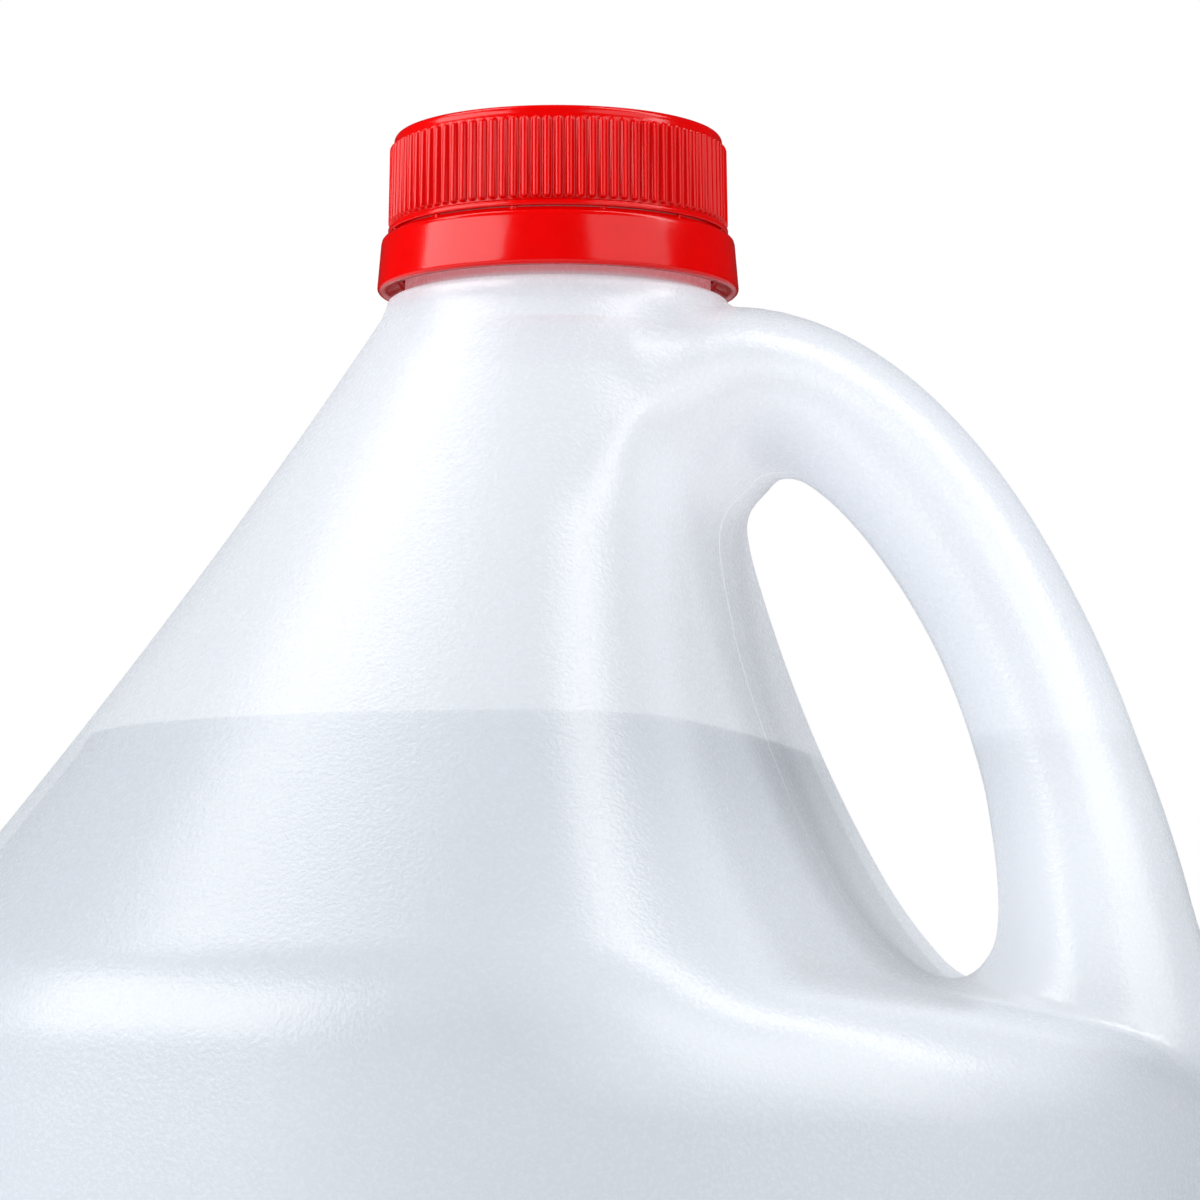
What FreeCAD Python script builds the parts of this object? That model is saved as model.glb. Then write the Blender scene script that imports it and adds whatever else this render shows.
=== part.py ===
import FreeCAD, Part
import math
import os

Vector = FreeCAD.Vector

# Rubbing alcohol jug, one gallon: blown jug with a hollow loop handle, screw cap on a
# 38 mm neck, foam liner, tamper band and the liquid inside.
# Frame: millimetres, +Z up, the handle towards +X, origin on the standing plane under
# the middle of the base. Y = 0 is the mould's parting plane.

# ---- Driving dimensions ----------------------------------------------------------

# Blown body
body_radius = 81.0
shoulder_height = 178.0        # where the side wall and the cone would meet unrounded
cone_height = 81.2             # from there to the collar
collar_radius = 20.8
collar_height = 1.6
collar_chamfer = 0.6
collar_wall = 2.2
cone_hollow_radius = 820.0     # the cone's generatrix is very slightly hollow
shoulder_rounding = 17.0
base_rounding = 12.0
push_up_height = 6.0           # flat middle of the base, inside a 45 degree wall
standing_ring_width = 8.0
wall = 1.0
hidden_chords = 3              # for the cone's and the base's bends on the surfaces inside

# Handle pocket, one hollow on both sides of the parting plane. Its panel goes down in
# three tangent arcs, from the hood under the handle's root to the floor at the foot.
panel_setback = 0.6            # panel behind the collar's radius at the panel station
panel_station = 0.357 * cone_height     # below the cone's top
panel_station_angle = 10.0     # degrees off plumb
panel_bow_radius = 550.0       # horizontal bow of the panel behind the handle
panel_hood_radius = 60.0
panel_hood_turn = 20.0         # degrees
panel_main_radius = 1.613 * cone_height
panel_main_turn = 17.7
panel_low_radius = 0.628 * cone_height
panel_low_turn = 15.3
pocket_foot_radius = 9.0
floor_slope = 12.0             # degrees
ridge_rounding = 12.0
foot_rounding = 7.0            # where the handle's foot meets the pocket's floor

# Hollow loop handle, its centreline a quarter superellipse
grip_thickness = 17.2          # in the parting plane
grip_width = 23.0
root_thickness = 18.4
root_width = 27.0
root_flare = 42.0              # width of the root inside the cone
root_drop = 0.3                # top of the root below the cone's top
root_setback = 1.2             # start of the curve outside the collar
foot_thickness = 27.0
foot_width = 27.0
foot_flare = 40.0
foot_run = 10.0                # end of the curve below the shoulder height, and on into the body
foot_lean = 3.0                # towards the axis over the foot's run
handle_squareness = 1.86       # 2 would be a quarter ellipse
handle_wall_margin = 0.5       # outer face of the foot inside the side wall
# degrees along the curve, and how far the section has gone from its end to the grip there
root_stations = ((18.0, 0.4), (34.0, 1.0))
foot_stations = ((48.0, 1.0), (62.0, 0.9), (76.0, 0.5))

# Neck finish
neck_radius = 17.6
neck_ring_radius = 18.55
neck_height = 19.3             # from the cone's top to the sealing lip
bore_radius = 15.75
bead_radius = 19.75
bead_drop = 14.0               # bead's underside below the sealing lip
bead_thickness = 1.7
lip_chamfer = 0.4

# Thread, right hand, one start
thread_pitch = 4.23
thread_turns = 1.25
thread_height = 1.0
thread_root_width = 2.0
thread_crest_width = 1.0
thread_embed = 0.25
thread_drop = 1.7              # end of the neck thread below the sealing lip
thread_running_gap = 0.35      # between crests and roots
flank_gap = 0.35               # between the two threads' flanks

# Screw cap
skirt_length = 12.1
cap_wall = 1.15
cap_top_thickness = 1.5
rib_count = 96
rib_height = 0.58
rib_root_share = 0.74          # of the pitch
rib_crest_share = 0.42
rib_embed = 0.05
plain_ring_height = 0.7
rim_setback = 0.75             # top rim inside the rib crests
rim_height = 1.3
rim_chamfer = 0.6
rim_width = 1.6
top_recess = 0.35

# Liner
liner_thickness = 1.0
liner_gap = 0.45

# Tamper band
band_height = 6.5
band_slit = 0.6
band_wall = 1.2
band_flare = 0.5
band_gap = 0.5                 # between the neck's bead and the band's bore
band_chamfer = 0.4
band_lip_overlap = 0.2         # of the band's upper lip past the bridges
snap_bead_gap = 0.7            # between the snap bead and the neck's ring
snap_bead_height = 1.5
snap_bead_rise = 0.5
bridge_count = 12
bridge_width = 1.0
bridge_wall = 0.6
bridge_setback = 0.1           # bridges inside the rib crests
bridge_gap = 0.05

# Contents
fill_above_shoulder = 30.0     # 3.785 litres
liquid_gap = 0.4

# ---- Derived places --------------------------------------------------------------

cone_top_height = shoulder_height + cone_height
fill_height = shoulder_height + fill_above_shoulder
lip_height = cone_top_height + neck_height
collar_top = cone_top_height + collar_height
bead_bottom = lip_height - bead_drop
thread_radius = neck_radius + thread_height
cap_inner_radius = thread_radius + thread_running_gap
cap_root_radius = cap_inner_radius + cap_wall
cap_rib_radius = cap_root_radius + rib_height
cap_top = lip_height + liner_thickness + cap_top_thickness
skirt_bottom = cap_top - skirt_length
band_top = skirt_bottom - band_slit
band_bottom = band_top - band_height
band_inner_radius = bead_radius + band_gap

axis_up = Vector(0, 0, 1)
origin = Vector(0, 0, 0)


def point(x, z):
    return Vector(x, 0, z)


def arc_between(centre, radius, start, end):
    """Arc in the XZ plane from start to end, the short way round."""
    middle = (start + end) * 0.5 - centre
    middle.normalize()
    return Part.Arc(start, centre + middle * radius, end).toShape()


def polygon_edges(points):
    return [Part.LineSegment(a, b).toShape() for a, b in zip(points, points[1:])]


def bend(centre, radius, start, end, chords):
    """The arc from start to end or, where it is hidden, that many chords of it."""
    if not chords:
        return [arc_between(centre, radius, start, end)]
    corners = [start]
    for step in range(1, chords):
        outward = start + (end - start) * (step / chords) - centre
        outward.normalize()
        corners.append(centre + outward * radius)
    return polygon_edges(corners + [end])


def turned(edges, axis_point=origin, start=0.0, sweep=360.0):
    """Solid of revolution of a closed outline in the XZ plane about a vertical axis."""
    face = Part.Face(Part.Wire(Part.__sortEdges__(edges)))
    if start:
        face.rotate(axis_point, axis_up, start)
    return face.revolve(axis_point, axis_up, sweep)


def turned_polygon(points):
    return turned(polygon_edges(points + [points[0]]))


# ---- Blown form ------------------------------------------------------------------

def cone_centre():
    """Centre of the cone's hollow generatrix, outside the jug."""
    low = point(body_radius, shoulder_height)
    high = point(collar_radius, cone_top_height)
    half = (high - low) * 0.5
    outward = point(-half.z, half.x)
    if outward.x < 0:
        outward = outward * -1
    outward.normalize()
    reach = math.sqrt(cone_hollow_radius ** 2 - half.Length ** 2)
    return low + half + outward * reach


def round_form(inset):
    """The jug without handle and pocket, drawn inside its skin by inset."""
    # what lies inside the skin is hidden
    chords = hidden_chords if inset else 0
    centre = cone_centre()
    cone_radius = cone_hollow_radius + inset
    wall_x = body_radius - inset
    bend_x = body_radius - shoulder_rounding
    bend_drop = math.sqrt((cone_hollow_radius + shoulder_rounding) ** 2 - (bend_x - centre.x) ** 2)
    shoulder = point(bend_x, centre.z - bend_drop)
    towards_bend = shoulder - centre
    towards_bend.normalize()
    cone_low = centre + towards_bend * cone_radius
    top_z = cone_top_height
    top_x = centre.x - math.sqrt(cone_radius ** 2 - (centre.z - top_z) ** 2)

    ring_outer = body_radius - base_rounding
    ring_inner = ring_outer - standing_ring_width + inset * math.tan(math.radians(22.5))
    floor_z = push_up_height + inset
    corner = point(ring_outer, base_rounding)

    edges = polygon_edges([
        point(0, floor_z),
        point(ring_inner - push_up_height, floor_z),
        point(ring_inner, inset),
        point(ring_outer, inset),
    ])
    edges += bend(corner, base_rounding - inset, point(ring_outer, inset), point(wall_x, base_rounding), chords)
    edges += polygon_edges([point(wall_x, base_rounding), point(wall_x, shoulder.z)])
    edges.append(arc_between(shoulder, shoulder_rounding - inset, point(wall_x, shoulder.z), cone_low))
    edges += bend(centre, cone_radius, cone_low, point(top_x, top_z), chords)
    edges += polygon_edges([point(top_x, top_z), point(0, top_z), point(0, floor_z)])
    return turned(edges)


def pocket(inset):
    """The hollow behind and beside the handle, grown by inset."""
    station = point(collar_radius - panel_setback, cone_top_height - panel_station)
    edges = []

    def downward(angle):
        # degrees from straight down, towards +X
        return point(math.sin(math.radians(angle)), -math.cos(math.radians(angle)))

    def towards_hollow(angle):
        return point(math.cos(math.radians(angle)), math.sin(math.radians(angle)))

    def arc(start, angle, radius, turn):
        centre = start + towards_hollow(angle) * radius
        end = centre - towards_hollow(angle + turn) * radius
        middle = centre - towards_hollow(angle + turn / 2) * radius
        edges.append(Part.Arc(start, middle, end).toShape())
        return end, angle + turn

    here = station - towards_hollow(panel_station_angle) * inset
    top, top_angle = arc(here, panel_station_angle, panel_hood_radius + inset, -panel_hood_turn)
    above = top - downward(top_angle) * (body_radius / 2)
    edges.append(Part.LineSegment(top, above).toShape())

    here, angle = arc(here, panel_station_angle, panel_main_radius + inset, panel_main_turn)
    here, angle = arc(here, angle, panel_low_radius + inset, panel_low_turn)
    here, angle = arc(here, angle, pocket_foot_radius + inset, 90.0 - floor_slope - angle)
    out = here + downward(angle) * body_radius
    edges.append(Part.LineSegment(here, out).toShape())
    edges += polygon_edges([out, point(out.x, above.z), above])

    axis_point = point(station.x - panel_bow_radius, 0)
    half_width = body_radius + shoulder_rounding
    half_sweep = math.degrees(math.asin(half_width / panel_bow_radius))
    return turned(edges, axis_point, -half_sweep, 2 * half_sweep)


def handle(inset):
    """The loop handle, lofted along a quarter superellipse from the neck to the side wall."""
    start_x = collar_radius + root_setback
    start_z = cone_top_height - root_drop - root_thickness / 2
    end_x = body_radius - handle_wall_margin - foot_thickness / 2
    end_z = shoulder_height - foot_run
    power = 2 / handle_squareness

    def on_curve(angle):
        t = math.radians(angle)
        x = start_x + (end_x - start_x) * math.sin(t) ** power
        z = end_z + (start_z - end_z) * math.cos(t) ** power
        return point(x, z)

    def section(place, heading, thickness, width):
        # heading in degrees below +X
        h = math.radians(heading)
        across = Vector(math.sin(h), 0, math.cos(h))
        half_thickness = thickness / 2 - inset
        half_width = width / 2 - inset
        minor_axis = across if half_width > half_thickness else Vector(0, 1, 0)
        major_axis = Vector(0, 1, 0) if half_width > half_thickness else across
        oval = Part.Ellipse(
            place + major_axis * max(half_width, half_thickness),
            place + minor_axis * min(half_width, half_thickness),
            place,
        )
        return Part.Wire(oval.toShape())

    def heading_at(angle):
        nearby = 0.5
        ahead = on_curve(angle + nearby)
        behind = on_curve(angle - nearby)
        return math.degrees(math.atan2(behind.z - ahead.z, ahead.x - behind.x))

    depth = collar_radius * 3 / 4
    sections = [
        section(point(start_x - depth, start_z), 0, root_thickness, root_flare),
        section(point(start_x - depth / 2, start_z), 0, root_thickness, (root_flare + root_width) / 2),
        section(point(start_x, start_z), 0, root_thickness, root_width),
    ]
    for stations, end_thickness, end_width in (
        (root_stations, root_thickness, root_width),
        (foot_stations, foot_thickness, foot_width),
    ):
        for angle, slimness in stations:
            thickness = end_thickness + (grip_thickness - end_thickness) * slimness
            width = end_width + (grip_width - end_width) * slimness
            sections.append(section(on_curve(angle), heading_at(angle), thickness, width))
    sections += [
        section(point(end_x, end_z), 90, foot_thickness, (foot_width + foot_flare) / 2),
        section(point(end_x - foot_lean, end_z - foot_run), 90, foot_thickness, foot_flare),
    ]
    return Part.makeLoft(sections, True, False)


def meeting_edges(result, first, second):
    """Edges of a boolean result along which the two forms' surfaces meet."""
    meeting = []
    for edge in result.Edges:
        if edge.Degenerated:
            continue
        middle = Part.Vertex(edge.valueAt((edge.FirstParameter + edge.LastParameter) / 2))
        if all(form.Shells[0].distToShape(middle)[0] < 1e-4 for form in (first, second)):
            meeting.append(edge)
    return meeting


def blown_form(inset):
    """Body, pocket and handle as one form, drawn inside its skin by inset."""
    body = round_form(inset)
    hollow = pocket(inset)
    cut = body.cut(hollow)
    rim = meeting_edges(cut, body, hollow)
    hollowed = cut.makeFillet(ridge_rounding - inset, rim)
    loop = handle(inset)
    joined = hollowed.fuse(loop)
    foot = [edge for edge in meeting_edges(joined, hollowed, loop) if edge.CenterOfMass.z < shoulder_height]
    return joined.makeFillet(foot_rounding + inset, foot)


# ---- Neck and threads ------------------------------------------------------------

def thread(base_radius, crest_radius, start_height, start_turn, turns):
    """Helical ridge from base to crest, either outwards or inwards."""
    embed = math.copysign(thread_embed, base_radius - crest_radius)
    half_root = thread_root_width / 2
    half_crest = thread_crest_width / 2
    section = Part.Wire(polygon_edges([
        point(base_radius + embed, -half_root),
        point(crest_radius, -half_crest),
        point(crest_radius, half_crest),
        point(base_radius + embed, half_root),
        point(base_radius + embed, -half_root),
    ]))
    spine = Part.makeHelix(thread_pitch, turns * thread_pitch, base_radius)
    ridge = Part.Wire(spine).makePipeShell([section], True, True)
    ridge.rotate(origin, axis_up, 360 * start_turn)
    ridge.translate(Vector(0, 0, start_height))
    return ridge


def neck():
    bead_top = bead_bottom + bead_thickness
    form = turned_polygon([
        point(0, cone_top_height),
        point(collar_radius, cone_top_height),
        point(collar_radius, collar_top - collar_chamfer),
        point(collar_radius - collar_chamfer, collar_top),
        point(neck_ring_radius, collar_top),
        point(neck_ring_radius, bead_bottom),
        point(bead_radius, bead_bottom),
        point(bead_radius, bead_bottom + bead_thickness / 2),
        point(neck_radius, bead_top),
        point(neck_radius, lip_height - lip_chamfer),
        point(neck_radius - lip_chamfer, lip_height),
        point(0, lip_height),
    ])
    start = lip_height - thread_drop - thread_turns * thread_pitch
    return form.fuse(thread(neck_radius, thread_radius, start, 0, thread_turns))


def bore():
    """The way through the neck, with its 45 degree entry from inside."""
    throat = min(collar_radius - collar_wall, neck_ring_radius)
    entry = throat - bore_radius
    return turned_polygon([
        point(0, cone_top_height - wall),
        point(throat, cone_top_height - wall),
        point(throat, cone_top_height),
        point(bore_radius, cone_top_height + entry),
        point(bore_radius, lip_height + wall),
        point(0, lip_height + wall),
    ])


def jug():
    outside = blown_form(0).fuse(neck())
    return outside.cut(blown_form(wall).fuse(bore()))


# ---- Closure ---------------------------------------------------------------------

def cap_core():
    rim_radius = cap_rib_radius - rim_setback
    rim_bottom = cap_top - rim_height
    ring_top = skirt_bottom + plain_ring_height
    recess_radius = rim_radius - rim_width
    ceiling = lip_height + liner_thickness
    return turned_polygon([
        point(cap_inner_radius, skirt_bottom),
        point(cap_rib_radius, skirt_bottom),
        point(cap_rib_radius, ring_top - top_recess),
        point(cap_root_radius, ring_top),
        point(cap_root_radius, rim_bottom),
        point(rim_radius, rim_bottom + cap_root_radius - rim_radius),
        point(rim_radius, cap_top - rim_chamfer),
        point(rim_radius - rim_chamfer, cap_top),
        point(recess_radius, cap_top),
        point(recess_radius - top_recess, cap_top - top_recess),
        point(0, cap_top - top_recess),
        point(0, ceiling),
        point(cap_inner_radius, ceiling),
    ])


def cap_ribs():
    """The knurl: a toothed prism whose teeth slope off at the top."""
    bottom = skirt_bottom + plain_ring_height - top_recess
    top = cap_top - rim_height
    inner = cap_root_radius - rib_embed
    corners = []
    for tooth in range(rib_count):
        for radius, share in (
            (inner, -rib_root_share),
            (cap_rib_radius, -rib_crest_share),
            (cap_rib_radius, rib_crest_share),
            (inner, rib_root_share),
        ):
            angle = (2 * tooth + share) * math.pi / rib_count
            corners.append(Vector(radius * math.cos(angle), radius * math.sin(angle), bottom))
    prism = Part.Face(Part.makePolygon(corners + corners[:1])).extrude(axis_up * (top - bottom))
    middle = (cap_inner_radius + cap_root_radius) / 2
    outer = cap_rib_radius + rib_height
    slope = turned_polygon([
        point(middle, bottom),
        point(outer, bottom),
        point(outer, top - outer + inner),
        point(inner, top),
        point(middle, top),
    ])
    return prism.common(slope)


def screw_cap():
    crest = neck_radius + thread_running_gap
    flank_share = thread_running_gap / thread_height
    below_neck_thread = (
        thread_root_width + thread_crest_width - (thread_root_width - thread_crest_width) * flank_share
    ) / 2 + flank_gap
    lead = 0.2
    start = lip_height - thread_drop - thread_turns * thread_pitch - below_neck_thread + lead * thread_pitch
    ridge = thread(cap_inner_radius, crest, start, lead, thread_turns - lead)
    return cap_core().fuse(cap_ribs()).fuse(ridge)


def liner():
    return Part.makeCylinder(cap_inner_radius - liner_gap, liner_thickness, point(0, lip_height))


def tamper_band():
    outer_top = band_inner_radius + band_wall
    outer_bottom = outer_top + band_flare
    bridge_inner = cap_rib_radius - bridge_setback - bridge_wall
    lip_radius = bridge_inner - band_lip_overlap
    snap_radius = neck_ring_radius + snap_bead_gap
    snap_bottom = band_bottom + snap_bead_rise + band_chamfer
    snap_top = snap_bottom + snap_bead_height
    snap_slope = band_inner_radius - snap_radius
    lip_slope = band_inner_radius - lip_radius
    band = turned_polygon([
        point(outer_bottom - band_chamfer, band_bottom),
        point(band_inner_radius, band_bottom),
        point(snap_radius, snap_bottom),
        point(snap_radius, snap_top - snap_slope),
        point(band_inner_radius, snap_top),
        point(band_inner_radius, band_top - band_chamfer - lip_slope),
        point(lip_radius, band_top - band_chamfer),
        point(lip_radius, band_top),
        point(outer_top - band_chamfer, band_top),
        point(outer_top, band_top - band_chamfer),
        point(outer_bottom, band_bottom + band_chamfer),
    ])
    corner = Vector(bridge_inner, -bridge_width / 2, band_top)
    bridge = Part.makeBox(bridge_wall, bridge_width, band_slit - bridge_gap, corner)
    bridges = []
    for number in range(bridge_count):
        copy = bridge.copy()
        copy.rotate(origin, axis_up, 360 / bridge_count * number)
        bridges.append(copy)
    return band.fuse(bridges)


# ---- Contents --------------------------------------------------------------------

def liquid():
    inside = blown_form(wall + liquid_gap)
    reach = 2 * body_radius
    below_level = Part.makeBox(2 * reach, 2 * reach, fill_height, Vector(-reach, -reach, 0))
    return inside.common(below_level)


# ---- Output ----------------------------------------------------------------------

os.makedirs("parts", exist_ok=True)
for name, piece in (
    ("jug", jug()),
    ("screw_cap", screw_cap()),
    ("liner", liner()),
    ("tamper_band", tamper_band()),
    ("liquid", liquid()),
):
    piece.exportStep("parts/" + name + ".step")
    print(name, "valid", piece.isValid(), "solids", len(piece.Solids), "cm3", round(piece.Volume / 1000, 3))
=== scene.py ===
import math

import bmesh
import bpy
import numpy as np
from bpy.props import FloatProperty, FloatVectorProperty, IntProperty, PointerProperty
from mathutils import Euler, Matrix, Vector


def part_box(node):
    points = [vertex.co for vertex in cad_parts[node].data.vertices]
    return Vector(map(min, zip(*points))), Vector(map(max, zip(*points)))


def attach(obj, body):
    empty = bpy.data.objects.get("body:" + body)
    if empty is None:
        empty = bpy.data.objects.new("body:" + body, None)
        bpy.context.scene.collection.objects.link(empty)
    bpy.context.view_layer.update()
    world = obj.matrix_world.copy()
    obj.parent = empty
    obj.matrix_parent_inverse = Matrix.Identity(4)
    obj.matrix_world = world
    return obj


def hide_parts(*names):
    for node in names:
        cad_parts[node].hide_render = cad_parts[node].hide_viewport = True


bl_info = {
    "name": "Rubbing Alcohol Jug",
    "version": (1, 0, 0),
    "blender": (4, 5, 0),
    "location": "View3D > Sidebar > Jug",
    "description": "Dresses a one gallon jug: blown body, liquid, ribbed cap, band and studio",
    "category": "Object",
}

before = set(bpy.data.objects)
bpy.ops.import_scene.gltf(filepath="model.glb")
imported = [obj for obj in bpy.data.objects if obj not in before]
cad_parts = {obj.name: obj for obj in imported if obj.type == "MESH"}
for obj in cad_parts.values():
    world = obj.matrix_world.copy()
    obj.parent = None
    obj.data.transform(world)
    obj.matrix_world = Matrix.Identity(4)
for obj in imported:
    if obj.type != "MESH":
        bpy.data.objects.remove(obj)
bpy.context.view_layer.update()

MM = 0.001
TAU = 2 * math.pi

# The thread that neck and cap share, in millimetres
THREAD_TURNS = 1.25
THREAD_FOOT = 2.0
THREAD_TOP = 1.0
THREAD_UNDER_LIP = 1.7


def corners_mm(node):
    """Lowest and highest corner of a CAD node, in millimetres."""
    return [[value / MM for value in corner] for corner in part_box(node)]


_, jug_high = corners_mm("jug")
cap_low, cap_high = corners_mm("screw_cap")
band_low, band_high = corners_mm("tamper_band")
_, liquid_high = corners_mm("liquid")


def size(name, description, millimetres):
    """A length shown in the sidebar."""
    return FloatProperty(name=name, description=description, default=millimetres * MM,
                         unit="LENGTH", precision=5)


def angle(name, description, degrees):
    """An angle shown in degrees."""
    return FloatProperty(name=name, description=description, default=math.radians(degrees),
                         subtype="ANGLE")


def share(name, description, value):
    """A part of one, shown as a slider."""
    return FloatProperty(name=name, description=description, default=value,
                         subtype="FACTOR", min=0, max=1)


def colour(name, description, value):
    """A colour shown as a swatch."""
    return FloatVectorProperty(name=name, description=description, default=value,
                               subtype="COLOR", size=3, min=0, max=1)


# ---- What a user would change ----

class BlownBodySizes(bpy.types.PropertyGroup):
    """Sizes of the blown body, its handle and the pocket behind it"""

    body_radius: size("Body Radius", "Radius of the side wall", jug_high[1])
    cone_top: size("Cone Top", "Height of the cone's top, under the collar", jug_high[2] - 19.3)
    cone_height: size("Cone Height", "From the shoulder to the cone's top", 81.2)
    cone_hollow: size("Cone Hollow", "Radius of the cone's slightly hollow line", 820)
    shoulder_rounding: size("Shoulder Rounding", "Radius between side wall and cone", 17)
    rim_rounding: size("Rim Rounding", "Rounding of the pocket's rim", 12.5)
    rim_rounding_at_root: size("Rim Rounding at Root", "The same beside the handle's root", 2.5)
    foot_flow: size("Foot Flow", "How far the lower handle flows into the panel", 20.5)
    root_flow: size("Root Flow", "How far the handle's root flows into the panel", 7)
    crease_rounding: size("Crease Rounding", "Rounding of the crisp folds", 2.0)
    panel_setback: size("Panel Setback", "Panel behind the collar's radius", 0.67)
    panel_station: size("Panel Station", "Where the setback holds, below the cone's top", 29)
    panel_bow: size("Panel Bow", "Radius of the panel seen from above", 580)
    panel_top: size("Panel Top", "Radius of the panel under the handle's root", 60)
    panel_main: size("Panel Main", "Radius of the panel's long stretch", 132)
    panel_main_turn: angle("Panel Main Turn", "Angle of the long stretch", 17.4)
    panel_low: size("Panel Low", "Radius of the panel's lower stretch", 52.4)
    root_drop: size("Root Drop", "Top of the handle's root below the cone's top", 0.05)
    squareness: FloatProperty(name="Squareness", description="Fullness of the handle's curve",
                              default=1.81)
    swell_depth: size("Swell Depth", "How much the root swells downward inside the neck", 7.8)
    swell_depth_reach: size("Swell Depth Reach", "How far out of the neck that reaches", 19.5)
    swell_width: size("Swell Width", "How much the root swells sideways inside the neck", 24)
    swell_width_reach: size("Swell Width Reach", "How far out of the neck that reaches", 28)
    grip_thickness: size("Grip Thickness", "Handle at the grip, seen from the side", 17.3)
    grip_width: size("Grip Width", "Handle at the grip, seen from above", 23)
    foot_thickness: size("Foot Thickness", "Handle at the side wall, seen from the side", 27.3)
    foot_width: size("Foot Width", "Handle at the side wall, seen from above", 27)
    foot_margin: size("Foot Margin", "Outer face of the foot inside the side wall", 0.56)
    skin_step: size("Skin Step", "Spacing of the corners of the moulded skin", 1.25)


class ClosureSizes(bpy.types.PropertyGroup):
    """Sizes of the ribbed cap and its tamper band"""

    ribs: IntProperty(name="Ribs", description="Ribs round the cap", default=96, min=12)
    rib_height: size("Rib Height", "How far a rib stands out of the skirt", 0.58)
    rib_width: size("Rib Width", "Width of a rib at its foot", 1.0)
    thread_pitch: size("Thread Pitch", "Rise of the thread in one turn", 4.23)


class Finishes(bpy.types.PropertyGroup):
    """Colours and surface of the jug's materials"""

    body_colour: colour("Body Colour", "Natural polyethylene", (0.60, 0.625, 0.665))
    # Body Glow colours the translucent shader and also the painted emission glow over the skin
    body_glow: colour("Body Glow", "Light that comes through the wall", (0.80, 0.815, 0.84))
    # Painted reflection: the red that the closure sheds on the neck, painted into its colour and
    # glow
    painted_neck_reflection: colour("Neck Tint", "Neck where the red closure shines on it", (0.8, 0.1, 0.11))
    body_alpha: share("Body Cover", "How much of what lies behind the wall it hides", 0.74)
    pebble_size: size("Pebble Size", "Grain of the blown surface", 0.55)
    cap_colour: colour("Cap Colour", "Red of the cap and band", (0.54, 0.0, 0.0))
    liquid_colour: colour("Liquid Colour", "Tone of the clear liquid", (0.34, 0.385, 0.43))
    liner_colour: colour("Liner Colour", "Foam of the liner", (0.86, 0.86, 0.84))


class StageSettings(bpy.types.PropertyGroup):
    """Camera and soft light"""

    view_azimuth: angle("View Azimuth", "Round the jug from straight ahead", 15)
    view_distance: size("View Distance", "From the jug's axis to the lens", 490)
    eye_height: size("Eye Height", "Height of the lens above the floor", 178)
    light_level: FloatProperty(name="Light Level", description="Brightness of the soft boxes",
                               default=4.5, min=0)
    surround: share("Surround", "Brightness of the room away from the soft boxes", 0.46)


# ---- Outlines and fields, in millimetres ----

def left_of(heading):
    """The direction a quarter turn to the left."""
    return np.array([-math.sin(heading), math.cos(heading)])


def outline(start, heading, runs):
    """Links of tangent arcs and straight runs; a run is (radius or None, turn or length).

    A positive radius turns left, a negative one right.
    """
    links = []
    at = np.array(start, float)
    for radius, extent in runs:
        links.append((at, heading, radius))
        if radius is None:
            at = at + extent * np.array([math.cos(heading), math.sin(heading)])
        else:
            centre = at + radius * left_of(heading)
            heading += extent
            at = centre - radius * left_of(heading)
    return links, at, heading


def right_of(links, u, v):
    """Distance to the right of an outline, negative on its left."""
    result = None
    reached = True
    for start, heading, radius in links:
        du = u - start[0]
        dv = v - start[1]
        left = left_of(heading)
        if radius is None:
            distance = -(du * left[0] + dv * left[1])
        else:
            centre = np.hypot(du - radius * left[0], dv - radius * left[1])
            distance = math.copysign(1, radius) * (centre - abs(radius))
        if result is None:
            result = distance
        else:
            reached = reached & (du * math.cos(heading) + dv * math.sin(heading) > 0)
            result = np.where(reached, distance, result)
    return result


def soft_max(a, b, softness):
    """The larger of two distances, rounded off where they are nearly equal."""
    overlap = np.maximum(softness - np.abs(a - b), 0) / softness
    return np.maximum(a, b) + overlap * overlap * softness / 4


def smooth(value, low, high):
    """0 up to low, 1 from high on, smooth between."""
    part = np.clip((value - low) / (high - low), 0, 1)
    return part * part * (3 - 2 * part)


def rounding(radius, height, edge, degrees):
    """Points of a profile round an edge; 0 degrees faces outward and 90 up."""
    return [(radius + edge * math.cos(turn), height + edge * math.sin(turn))
            for turn in np.radians(degrees)]


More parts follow.
